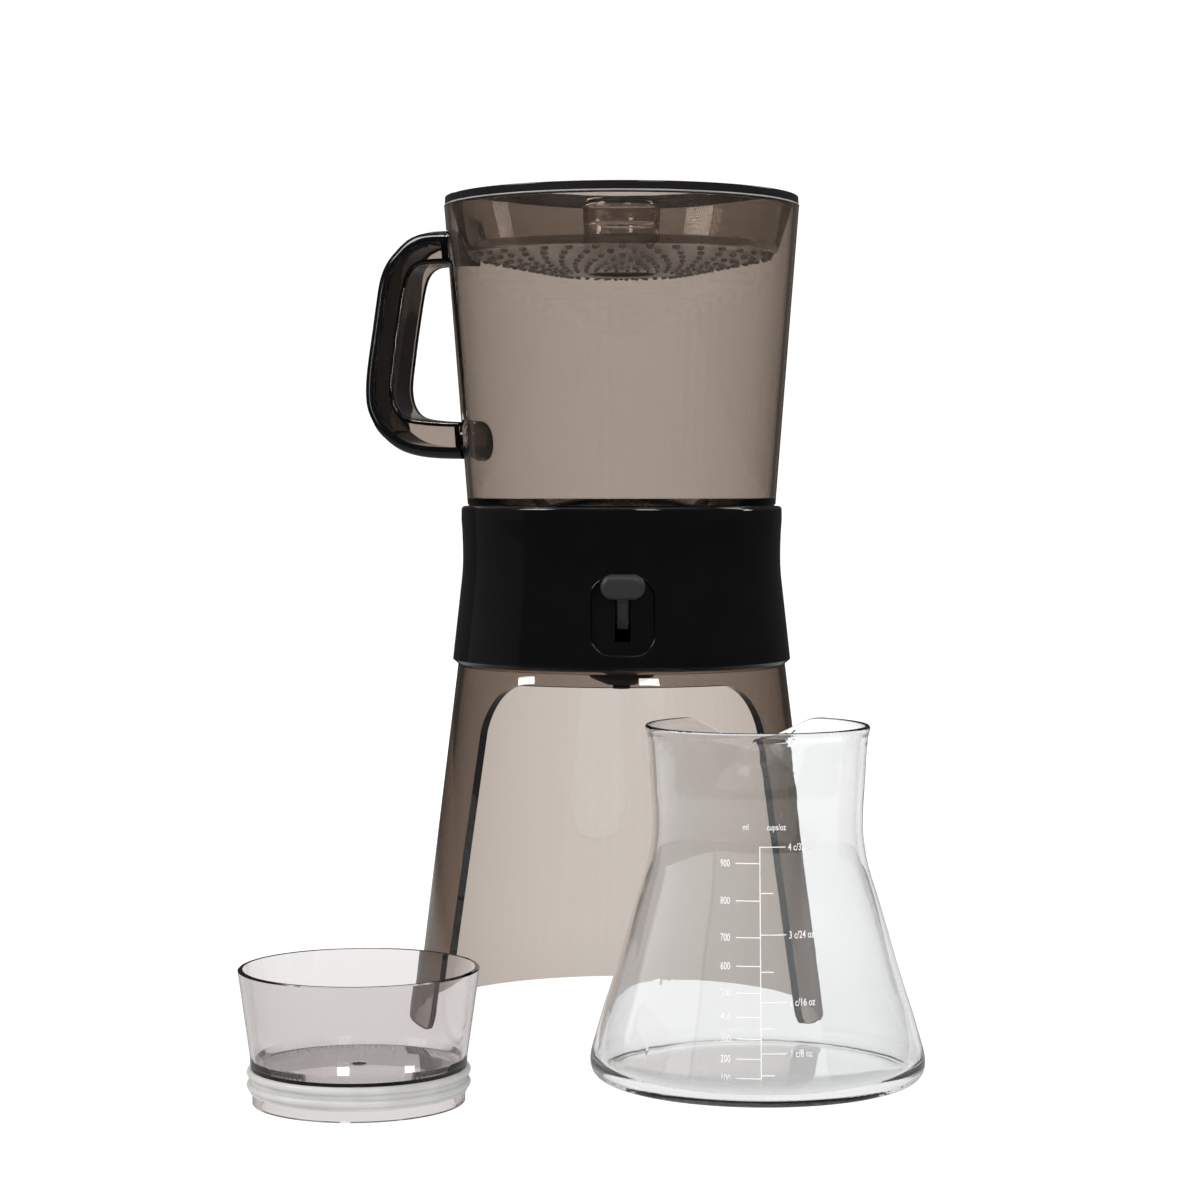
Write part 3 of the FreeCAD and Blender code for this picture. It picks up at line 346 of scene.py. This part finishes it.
def marks():
    """The printed scale on the carafe: millilitres to the left, cups and ounces to the right."""
    flat = bmesh.new()

    def bar(x0, x1, z0, z1):
        n = max(1, int(max(abs(x1 - x0), abs(z1 - z0)) / 2.5))
        wide = abs(x1 - x0) >= abs(z1 - z0)
        row = []
        for i in range(n + 1):
            t = i / n
            if wide:
                x = x0 + (x1 - x0) * t
                pair = ((x, z0), (x, z1))
            else:
                z = z0 + (z1 - z0) * t
                pair = ((x0, z), (x1, z))
            row.append([flat.verts.new((p[0], p[1], 0)) for p in pair])
        for a, b in zip(row, row[1:]):
            flat.faces.new((a[0], b[0], b[1], a[1]) if wide else (a[0], a[1], b[1], b[0]))

    def words(text, x, z, high, align="LEFT", squeeze=0.80):
        curve = bpy.data.curves.new("scale_text", "FONT")
        curve.body = text
        curve.align_x = align
        curve.resolution_u = 3
        curve.size = 1.0
        curve.offset = 0.012
        o = bpy.data.objects.new("scale_text", curve)
        bpy.context.scene.collection.objects.link(o)
        bpy.context.view_layer.update()
        got = bpy.data.meshes.new_from_object(o.evaluated_get(bpy.context.evaluated_depsgraph_get()))
        k = high / 0.70
        for v in got.vertices:
            v.co = (x + v.co.x * k * squeeze, z + (v.co.y - 0.35) * k, 0)
        flat.from_mesh(got)
        bpy.data.meshes.remove(got)
        bpy.data.objects.remove(o)
        bpy.data.curves.remove(curve)

    thin = 0.2
    bar(-thin, thin, 10.3, 102.5)
    left = [(95.7, "900"), (80.9, "800"), (66.6, "700"), (55.5, "600"), (45.1, "500"), (35.9, "400"), (27.6, "300"), (20.0, "200"), (12.6, "100")]
    for z, text in left:
        bar(-10.0, -thin, z - thin, z + thin)
        words(text, -12.3, z, 2.9, "RIGHT", 0.68)
    right = [(102.3, "4 c/32 oz"), (83.9, ""), (67.7, "3 c/24 oz"), (53.3, ""), (41.6, "2 c/16 oz"), (31.6, ""), (22.1, "1 c/8 oz"), (13.8, "")]
    for z, text in right:
        bar(thin, 10.6 if text else 5.4, z - thin, z + thin)
        if text:
            words(text, 11.7, z, 2.9, "LEFT", 0.70)
    words("ml", -5.8, 110.5, 2.6, "CENTER", 0.72)
    words("cups/oz", 6.8, 110.5, 2.6, "CENTER", 0.70)
    bmesh.ops.remove_doubles(flat, verts=flat.verts, dist=1e-5)
    bmesh.ops.triangulate(flat, faces=flat.faces)
    bmesh.ops.recalc_face_normals(flat, faces=flat.faces)
    top = list(flat.faces)
    back = bmesh.ops.duplicate(flat, geom=list(flat.verts) + list(flat.edges) + top)
    twin = back["vert_map"]
    under = {v: twin[v] for v in {v for f in top for v in f.verts}}
    for f in [g for g in back["geom"] if isinstance(g, bmesh.types.BMFace)]:
        f.normal_flip()
    rim = [e for f in top for e in f.edges if len([g for g in e.link_faces]) == 1]
    for e in set(rim):
        a, b = e.verts
        try:
            flat.faces.new((a, b, under[b], under[a]))
        except ValueError:
            pass
    lower = set(under.values())
    for v in flat.verts:
        v.co = on_glass(v.co.x, v.co.y, 0.03 if v in lower else 0.09)
    bmesh.ops.recalc_face_normals(flat, faces=flat.faces)
    mesh = bpy.data.meshes.new("carafe_scale_marks")
    flat.to_mesh(mesh)
    flat.free()
    return piece("carafe_scale_marks", mesh, print_white, "carafe")


def recess_edge():
    """The rounded edge of the switch recess, a thin bead that follows the collar."""
    half, low, high, corner = 14.85, 173.4, 209.0, 10.0
    flat = []
    for x, z, start in ((half - corner, low + corner, -90), (half - corner, high - corner, 0), (corner - half, high - corner, 90), (corner - half, low + corner, 180)):
        for k in range(13):
            t = math.radians(start + 7.5 * k)
            flat.append((x + corner * math.cos(t), z + corner * math.sin(t)))
    path = []
    for x, z in flat:
        radius = 80.4 + (76.3 - 80.4) * (z - 168.0) / 37.0 - 0.12
        path.append(Vector((x, -math.sqrt(radius ** 2 - x * x), z)))
    verts, faces = [], []
    sides, thick = 10, 0.42
    n = len(path)
    for i, c in enumerate(path):
        along = (path[(i + 1) % n] - path[i - 1]).normalized()
        out = Vector((c.x, c.y, 0)).normalized()
        side = along.cross(out).normalized()
        out = side.cross(along).normalized()
        for k in range(sides):
            t = 2 * math.pi * k / sides
            verts.append((c + (out * math.cos(t) + side * math.sin(t)) * thick) * MM)
    for i in range(n):
        for k in range(sides):
            k2, i2 = (k + 1) % sides, (i + 1) % n
            faces.append((i * sides + k, i * sides + k2, i2 * sides + k2, i2 * sides + k))
    mesh = bpy.data.meshes.new("switch_recess_edge")
    mesh.from_pydata([tuple(v) for v in verts], [], faces)
    mesh.shade_smooth()
    mesh.update()
    return piece("switch_recess_edge", mesh, gloss, "brewer")


LOOP_OUT = [(72.0, 372.6), (88.0, 373.9), (96.0, 373.8), (102.6, 372.6), (108.3, 369.9), (113.2, 365.6), (117.6, 360.9), (120.9, 355.5),
            (122.7, 350.4), (124.3, 342.0), (125.5, 334.0), (127.0, 324.0), (128.5, 314.5), (129.7, 305.5), (130.2, 299.0),
            (130.1, 293.0), (129.0, 287.0), (126.9, 282.3), (124.0, 277.4), (119.2, 272.6), (112.5, 268.0), (104.7, 265.2), (96.1, 263.8), (84.0, 263.2), (72.0, 263.0)]
LOOP_IN = [(72.0, 357.8), (88.0, 357.8), (95.5, 357.7), (99.8, 357.2), (103.2, 355.5), (105.6, 352.6), (107.0, 349.0), (108.2, 344.0), (109.6, 336.0),
           (110.9, 328.0), (112.3, 318.5), (113.5, 309.5), (114.4, 302.5), (114.6, 297.0), (113.9, 292.2), (112.0, 287.7), (108.9, 284.6),
           (104.5, 283.0), (98.5, 282.2), (88.0, 281.4), (72.0, 281.1)]


def even(points, d, count):
    """count points at even steps along the line, set in by d."""
    total = [0.0]
    for a, b in zip(points, points[1:]):
        total.append(total[-1] + math.dist(a, b))
    out = []
    for k in range(count):
        s = total[-1] * k / (count - 1)
        i = max(j for j in range(len(points) - 1) if total[j] <= s + 1e-9)
        t = (s - total[i]) / (total[i + 1] - total[i])
        (r0, z0), (r1, z1) = points[i], points[i + 1]
        long = math.dist(points[i], points[i + 1])
        out.append((r0 + (r1 - r0) * t + (z1 - z0) / long * d, z0 + (z1 - z0) * t - (r1 - r0) / long * d))
    return out


def handle_painted_lining():
    """Painted shade and light inside the handle's channel, seen through its smoke wall: black sheets on the side walls
    as painted shade and a pale sheet on the floor as painted light, which taper into the arms.
    """
    count = 120
    one, two = even(LOOP_OUT, 5.9, count), even(LOOP_IN, -2.9, count)
    pairs = []
    for a, b in zip(one, two):
        wall = 73.4 + (a[1] - 241.3) * 11.2 / 141.7 + 7.2
        if a[0] <= wall or b[0] <= wall:
            continue
        t = min(max((368.0 - b[1]) / 26.0, 0.0), 1.0) * min(max((b[1] - 280.5) / 9.0, 0.0), 1.0)
        w = t * t * (3 - 2 * t)
        if w > 0.03:
            pairs.append((a, (a[0] + (b[0] - a[0]) * w, a[1] + (b[1] - a[1]) * w)))
    turn = math.radians(159.0)

    def sheet(name, mat, corners):
        """corners: for a pair (a, b), the four corners (r, z, y) of the sheet's section there."""
        verts, faces = [], []
        for a, b in pairs:
            for r, z, y in corners(a, b):
                verts.append(((r * math.cos(turn) - y * math.sin(turn)) * MM, (r * math.sin(turn) + y * math.cos(turn)) * MM, z * MM))
        n = len(pairs)
        for i in range(n - 1):
            p, q = 4 * i, 4 * i + 4
            for u, v in ((0, 1), (1, 2), (2, 3), (3, 0)):
                faces.append((p + u, p + v, q + v, q + u))
        faces.append((0, 3, 2, 1))
        e = 4 * (n - 1)
        faces.append((e, e + 1, e + 2, e + 3))
        mesh = bpy.data.meshes.new(name)
        mesh.from_pydata(verts, [], faces)
        fix = bmesh.new()
        fix.from_mesh(mesh)
        bmesh.ops.recalc_face_normals(fix, faces=fix.faces)
        fix.to_mesh(mesh)
        fix.free()
        mesh.update()
        return piece(name, mesh, mat, "brewer")

    # black sheets on the channel's side walls: painted shade
    sheet("handle_lining_front", black, lambda a, b: ((*a, 9.95), (*a, 10.2), (*b, 10.2), (*b, 9.95)))
    sheet("handle_lining_back", black, lambda a, b: ((*a, -10.2), (*a, -9.95), (*b, -9.95), (*b, -10.2)))

    def low(a, b, k):
        long = math.dist(a, b) or 1.0
        return a[0] + (b[0] - a[0]) / long * k, a[1] + (b[1] - a[1]) / long * k

    # a pale sheet on the channel's floor: painted light
    sheet("handle_lining_floor", handle_floor_painted_light, lambda a, b: ((*low(a, b, 0.0), -9.85), (*low(a, b, 0.0), 9.85), (*low(a, b, 0.2), 9.85), (*low(a, b, 0.2), -9.85)))


def spring_coil():
    """The valve's spring between the stem's foot and the seat. The real spring shortens as the valve lifts; this coil
    is made at one length and rides with the valve.
    """
    low, high, wire, radius, turns, steps, sides = 191.15, 206.0, 0.4, 3.2, 5, 48, 12
    rise = high - low - 2 * wire - 0.06
    path = []
    for i in range(turns * steps + 1):
        t = 2 * math.pi * i / steps
        path.append(Vector((radius * math.cos(t), radius * math.sin(t), low + wire + 0.03 + rise * i / (turns * steps))))
    verts, faces = [], []
    for i, c in enumerate(path):
        t = 2 * math.pi * i / steps
        out = Vector((math.cos(t), math.sin(t), 0.0))
        along = Vector((-radius * math.sin(t), radius * math.cos(t), rise / turns / (2 * math.pi))).normalized()
        up = along.cross(out).normalized()
        for k in range(sides):
            a = 2 * math.pi * k / sides
            verts.append(tuple((c + (out * math.cos(a) + up * math.sin(a)) * wire) * MM))
    for i in range(len(path) - 1):
        for k in range(sides):
            k2 = (k + 1) % sides
            faces.append((i * sides + k, i * sides + k2, (i + 1) * sides + k2, (i + 1) * sides + k))
    faces.append(tuple(reversed(range(sides))))
    last = (len(path) - 1) * sides
    faces.append(tuple(range(last, last + sides)))
    mesh = bpy.data.meshes.new("valve_spring_coil")
    mesh.from_pydata(verts, [], faces)
    fix = bmesh.new()
    fix.from_mesh(mesh)
    bmesh.ops.recalc_face_normals(fix, faces=fix.faces)
    fix.to_mesh(mesh)
    fix.free()
    mesh.shade_smooth()
    mesh.update()
    coil = piece("valve_spring_coil", mesh, spring, "valve")
    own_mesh(coil)
    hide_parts("valve_spring")


spring_coil()
handle_painted_lining()
rainmaker()
nozzles()
marks()
recess_edge()


# ---------------------------------------------------------------- studio
def studio():
    scene = bpy.context.scene
    world = bpy.data.worlds.new("studio_world")
    scene.world = world
    world.use_nodes = True
    tree = world.node_tree
    tree.nodes.clear()
    N, L = tree.nodes.new, tree.links.new
    out = N("ShaderNodeOutputWorld")
    where = N("ShaderNodeTexCoord")
    part = N("ShaderNodeSeparateXYZ")
    L(where.outputs["Generated"], part.inputs["Vector"])

    def maths(op, a, b=None):
        n = N("ShaderNodeMath")
        n.operation = op
        for i, v in enumerate((a, b)):
            if v is None:
                continue
            if isinstance(v, (int, float)):
                n.inputs[i].default_value = v
            else:
                L(v, n.inputs[i])
        return n.outputs[0]

    def ramp(value, stops):
        r = N("ShaderNodeValToRGB")
        r.color_ramp.elements.remove(r.color_ramp.elements[1])
        r.color_ramp.elements[0].position = stops[0][0]
        r.color_ramp.elements[0].color = (stops[0][1],) * 3 + (1,)
        for p, v in stops[1:]:
            r.color_ramp.elements.new(p).color = (v,) * 3 + (1,)
        L(value, r.inputs["Fac"])
        return r.outputs["Color"]

    ray = N("ShaderNodeLightPath")
    # through clear walls: white all round up to a dark ceiling; what the walls mirror inside themselves
    # sees a lit backdrop behind the object and a dim room
    hops = maths("MINIMUM", ray.outputs["Glossy Depth"], 1.0)
    height = maths("ADD", maths("MULTIPLY", part.outputs["Z"], 0.5), 0.5)
    straight = ramp(height, [(0.0, 1.0), (0.66, 1.0), (0.78, 0.30), (1.0, 0.16)])
    room = ramp(height, [(0.0, 0.26), (0.62, 0.26), (0.75, 0.14), (1.0, 0.10)])
    behind = ramp(maths("MULTIPLY", part.outputs["Y"], ramp(height, [(0.0, 1.0), (0.60, 1.0), (0.70, 0.0)])), [(0.0, 0.0), (0.90, 0.0), (0.96, 0.85), (1.0, 0.85)])
    many = maths("GREATER_THAN", ray.outputs["Glossy Depth"], 1.5)
    inside = maths("MAXIMUM", maths("MAXIMUM", room, behind), maths("MULTIPLY", many, 0.80))
    lit = N("ShaderNodeMix")
    lit.data_type = "RGBA"
    L(hops, lit.inputs[0])
    L(straight, lit.inputs[6])
    L(inside, lit.inputs[7])
    through = N("ShaderNodeBackground")
    L(lit.outputs[2], through.inputs["Color"])
    through.inputs["Strength"].default_value = 1.3
    # reflections: a dark room with a bright ceiling panel
    sky = ramp(height, [(0.0, 0.02), (0.5, 0.04), (0.75, 0.09), (0.92, 0.16), (0.97, 0.9), (1.0, 0.9)])
    mirror = N("ShaderNodeBackground")
    L(sky, mirror.inputs["Color"])
    soft = N("ShaderNodeBackground")
    soft.inputs["Color"].default_value = (0.75, 0.75, 0.75, 1)
    seen = N("ShaderNodeBackground")
    seen.inputs["Color"].default_value = (1, 1, 1, 1)
    seen.inputs["Strength"].default_value = 1.1

    def mix(fac, a, b):
        n = N("ShaderNodeMixShader")
        L(fac, n.inputs[0])
        L(a, n.inputs[1])
        L(b, n.inputs[2])
        return n.outputs[0]

    s = mix(ray.outputs["Is Reflection Ray"], soft.outputs[0], mirror.outputs[0])
    s = mix(ray.outputs["Is Diffuse Ray"], s, soft.outputs[0])
    s = mix(ray.outputs["Is Transmission Ray"], s, through.outputs[0])
    s = mix(ray.outputs["Is Camera Ray"], s, seen.outputs[0])
    L(s, out.inputs["Surface"])

    # floor: a faint matte grey under a white glow; the glow is painted light, 10 % brighter towards the back
    mesh = bpy.data.meshes.new("studio_floor")
    b = bmesh.new()
    bmesh.ops.create_grid(b, x_segments=8, y_segments=8, size=3.0)
    b.to_mesh(mesh)
    b.free()
    floor = bpy.data.objects.new("studio_floor", mesh)
    scene.collection.objects.link(floor)
    floor.location = (0, 0, -0.0003)
    m = bpy.data.materials.new("studio_floor_white")
    m.use_nodes = True
    t = m.node_tree
    t.nodes.clear()
    o = t.nodes.new("ShaderNodeOutputMaterial")
    matte = t.nodes.new("ShaderNodeBsdfDiffuse")
    grain = noise(t, 3, 3)
    t.links.new(tones(t, grain.outputs["Fac"], [(0.3, (0.150, 0.150, 0.150)), (0.7, (0.162, 0.162, 0.162))]), matte.inputs["Color"])
    glow = t.nodes.new("ShaderNodeEmission")
    glow.inputs["Strength"].default_value = 1.0
    spot = t.nodes.new("ShaderNodeTexCoord")
    axes = t.nodes.new("ShaderNodeSeparateXYZ")
    t.links.new(spot.outputs["Object"], axes.inputs["Vector"])
    # painted light: the glow rises from 1.0 to 1.1 towards the back
    t.links.new(tones(t, spread(t, axes.outputs["Y"], 0.0, 1.0, -0.06, 0.26), [(0.0, (1.0,) * 3), (1.0, (1.10,) * 3)]), glow.inputs["Color"])
    both = t.nodes.new("ShaderNodeAddShader")
    t.links.new(matte.outputs[0], both.inputs[0])
    t.links.new(glow.outputs[0], both.inputs[1])
    # what glossy faces mirror of it: bright close by, gone further out
    dim = t.nodes.new("ShaderNodeEmission")
    place = t.nodes.new("ShaderNodeTexCoord")
    reach = t.nodes.new("ShaderNodeVectorMath")
    reach.operation = "LENGTH"
    t.links.new(place.outputs["Object"], reach.inputs[0])
    t.links.new(tones(t, reach.outputs["Value"], [(0.0, (0.34,) * 3), (0.55, (0.34,) * 3), (0.80, (0.12,) * 3), (1.0, (0.03,) * 3)]), dim.inputs["Color"])
    pick = t.nodes.new("ShaderNodeMixShader")
    ray2 = t.nodes.new("ShaderNodeLightPath")
    only = t.nodes.new("ShaderNodeMath")
    only.operation = "SUBTRACT"
    t.links.new(ray2.outputs["Is Reflection Ray"], only.inputs[0])
    t.links.new(ray2.outputs["Is Diffuse Ray"], only.inputs[1])
    only.use_clamp = True
    t.links.new(only.outputs[0], pick.inputs[0])
    t.links.new(both.outputs[0], pick.inputs[1])
    t.links.new(dim.outputs[0], pick.inputs[2])
    t.links.new(pick.outputs[0], o.inputs["Surface"])
    mesh.materials.append(m)

    def box_light(name, azimuth, low, high, half, far, power):
        """A softbox: azimuth in degrees to the right of the front, elevations in degrees, half its width in degrees."""
        a = math.radians(azimuth)
        z0, z1 = (0.16 + far * math.tan(math.radians(e)) for e in (low, high))
        data = bpy.data.lights.new(name, "AREA")
        data.shape = "RECTANGLE"
        data.size = 2 * far * math.tan(math.radians(half))
        data.size_y = z1 - z0
        data.energy = power * data.size * data.size_y
        lamp = bpy.data.objects.new(name, data)
        scene.collection.objects.link(lamp)
        lamp.location = (far * math.sin(a), -far * math.cos(a), (z0 + z1) / 2)
        lamp.rotation_euler = (Vector((0, 0, lamp.location.z)) - lamp.location).to_track_quat("-Z", "Y").to_euler()
        lamp.visible_camera = False
        return lamp

    every = [o for o in bpy.data.objects if o.type == "MESH" and o.name != "studio_floor"]

    def receivers(name, pick):
        made = bpy.data.collections.new(name)
        for o in every:
            if pick(o.name):
                made.objects.link(o)
        return made

    def lamp_for(group, *facts):
        box_light(*facts).light_linking.receiver_collection = group

    solid_ones = receivers("receive_softboxes", lambda n: n not in ("carafe_glass", "cup_body"))
    lamp_for(solid_ones, "softbox_left", -70, 26, 48, 12, 1.6, 34)
    lamp_for(solid_ones, "softbox_right", 19, 26, 48, 8, 1.6, 30)
    lamp_for(solid_ones, "softbox_back_left", 200, 24, 48, 8, 1.9, 20)
    lamp_for(solid_ones, "softbox_back_right", 110, 24, 48, 8, 1.9, 20)
    clear_ones = receivers("receive_clear", lambda n: n in ("carafe_glass", "cup_body"))
    lamp_for(clear_ones, "clear_left", -70, 26, 48, 12, 1.6, 5)
    lamp_for(clear_ones, "clear_right", 19, 26, 48, 8, 1.6, 5)
    lamp_for(clear_ones, "clear_front", 0, 4, 60, 45, 1.6, 2.6)
    lamp_for(clear_ones, "clear_wide_left", -78, 4, 60, 32, 1.6, 4.0)
    stand_ones = receivers("receive_stand", lambda n: n == "stand_shell")
    knob_ones = receivers("receive_knob", lambda n: n == "rainmaker_dish")

    def spark(name, group, place, towards, wide, tall, energy, through_walls=False, roll=0.0):
        """A small panel that only glossy faces of its group mirror."""
        data = bpy.data.lights.new(name, "AREA")
        data.shape = "RECTANGLE"
        data.size, data.size_y, data.energy = wide, tall, energy
        lamp = bpy.data.objects.new(name, data)
        scene.collection.objects.link(lamp)
        lamp.location = place
        facing = (Vector(towards) - Vector(place)).to_track_quat("-Z", "Y").to_matrix()
        lamp.rotation_euler = (facing @ Matrix.Rotation(math.radians(roll), 3, "Z")).to_euler()
        lamp.visible_camera = lamp.visible_diffuse = False
        lamp.visible_transmission = through_walls
        lamp.light_linking.receiver_collection = group

    spark("stand_left", stand_ones, (-0.3232, -0.1677, 0.1997), (-0.0439, -0.0650, 0.1615), 0.080, 0.0052, 0.024, roll=4.5)
    spark("stand_right", stand_ones, (0.1052, -0.3582, 0.2117), (0.0118, -0.0775, 0.1615), 0.083, 0.0048, 0.024, roll=-1.6)
    spark("knob_left", knob_ones, (-0.0461, -0.0238, 0.3709), (-0.0113, -0.0146, 0.3709), 0.0104, 0.0107, 0.022)
    spark("knob_right", knob_ones, (0.0206, -0.0501, 0.3730), (0.0043, -0.0180, 0.3730), 0.0085, 0.0063, 0.012)
    cup_ones = receivers("receive_cup", lambda n: n == "cup_body")
    spark("cup_left", cup_ones, (-0.1512, 0.1859, 0.0977), (-0.1147, -0.2214, 0.0152), 0.0076, 0.0059, 0.0007, True)
    spark("cup_right", cup_ones, (-0.1066, 0.1918, 0.0977), (-0.0816, -0.2170, 0.0152), 0.0076, 0.0059, 0.0007, True)
    nozzle_ones = receivers("receive_nozzles", lambda n: n in ("brew_container", "rainmaker_nozzles"))
    lamp_for(nozzle_ones, "nozzle_front", 22, 7.3, 11.6, 9, 1.6, 26)
    glass_ones = receivers("receive_glass", lambda n: n == "carafe_glass")
    spark("glass_top", glass_ones, (0.0565, -0.153, 1.1), (0.0565, -0.153, 0.0), 1.5, 1.5, 3.2, True)
    handle_ones = receivers("receive_handle", lambda n: n in ("handle_frame", "handle_grip"))
    lamp_for(handle_ones, "handle_right", 19, -4, 14, 8, 1.6, 30)
    lamp_for(handle_ones, "handle_left", -70, -4, 14, 6, 1.6, 9)
    lamp_for(handle_ones, "handle_high", -52, 36, 52, 6, 1.6, 45)
    collar_ones = receivers("receive_collar", lambda n: n in ("base_collar", "base_insert"))
    for k, half in enumerate((27, 19, 11)):
        lamp_for(collar_ones, "collar_side%d" % k, -100, -3, 30, half, 1.6, 0.15)

    data = bpy.data.cameras.new("photo_camera")
    data.sensor_width = 36
    data.lens = 87
    data.shift_x = 0.0
    data.shift_y = -116 / 1200
    data.clip_end = 50
    cam = bpy.data.objects.new("photo_camera", data)
    scene.collection.objects.link(cam)
    cam.location = (-0.0103, -1.385, 0.251)
    cam.rotation_euler = (math.radians(90), 0, 0)
    scene.camera = cam
    scene.view_settings.view_transform = "Standard"
    scene.cycles.max_bounces = 32
    scene.cycles.transmission_bounces = 32
    scene.cycles.glossy_bounces = 28
    scene.cycles.transparent_max_bounces = 16


studio()
